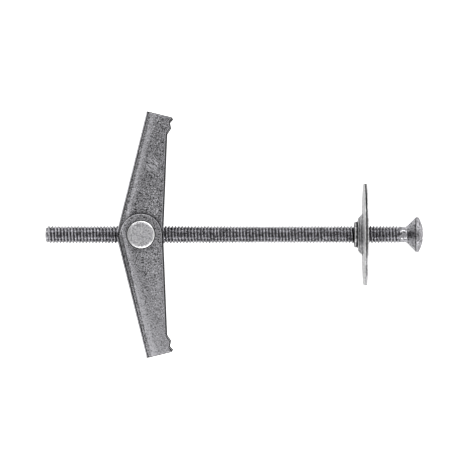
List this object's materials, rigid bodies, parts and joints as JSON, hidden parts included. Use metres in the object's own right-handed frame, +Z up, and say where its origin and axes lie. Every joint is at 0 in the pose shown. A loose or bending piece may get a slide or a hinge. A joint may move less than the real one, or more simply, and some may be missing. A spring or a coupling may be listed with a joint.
{
  "type": "spring toggle bolt",
  "caption": "Spring toggle bolt for hollow walls: a raised countersunk screw with a cup washer, a cross nut and sprung folding wings that clamp a board from behind.",
  "frame": {"origin": "on the surface that the bolt lies on, below the middle of its length", "axes": "+X along the screw towards its head, +Y towards the left wing, +Z up; the screw itself rises towards its head by the angle at which the bolt comes to rest"},
  "size_m": [0.0812, 0.053, 0.0219],
  "materials": {
    "screw_zinc": "bright zinc plate on rolled thread",
    "washer_zinc": "bright zinc plate, tumbled",
    "nut_zinc": "matt zinc plate with a bright staked rim",
    "wing_zinc": "dull zinc plate, mottled from barrel plating",
    "spring_wire": "drawn spring wire"
  },
  "bodies": {
    "screw": {"screw": "screw_zinc"},
    "cup_washer": {"cup_washer": "washer_zinc"},
    "cross_nut": {"cross_nut": "nut_zinc", "torsion_spring": "spring_wire"},
    "left_wing": {"left_wing": "wing_zinc"},
    "right_wing": {"right_wing": "wing_zinc"}
  },
  "joints": [
    {"name": "washer_slide", "type": "slide", "parent": "screw", "child": "cup_washer", "axis": [0.9949, 0, 0.101], "range_m": [-0.0373, 0.011]},
    {"name": "nut_travel", "type": "slide", "parent": "screw", "child": "cross_nut", "axis": [0.9949, 0, 0.101], "range_m": [-0.017, 0.0314]},
    {"name": "left_wing_fold", "type": "hinge", "parent": "cross_nut", "child": "left_wing", "pos_m": [-0.0199, 0, 0.00611], "axis": [-0.101, 0, 0.9949], "range_deg": [-76.1, 0], "stiffness_Nm_per_rad": 0.04, "springref_deg": 28.65, "deforming": ["torsion_spring"]},
    {"name": "right_wing_fold", "type": "hinge", "parent": "cross_nut", "child": "right_wing", "pos_m": [-0.0199, 0, 0.00611], "axis": [0.101, 0, -0.9949], "range_deg": [-76.1, 0], "stiffness_Nm_per_rad": 0.04, "springref_deg": 28.65, "deforming": ["torsion_spring"]}
  ]
}
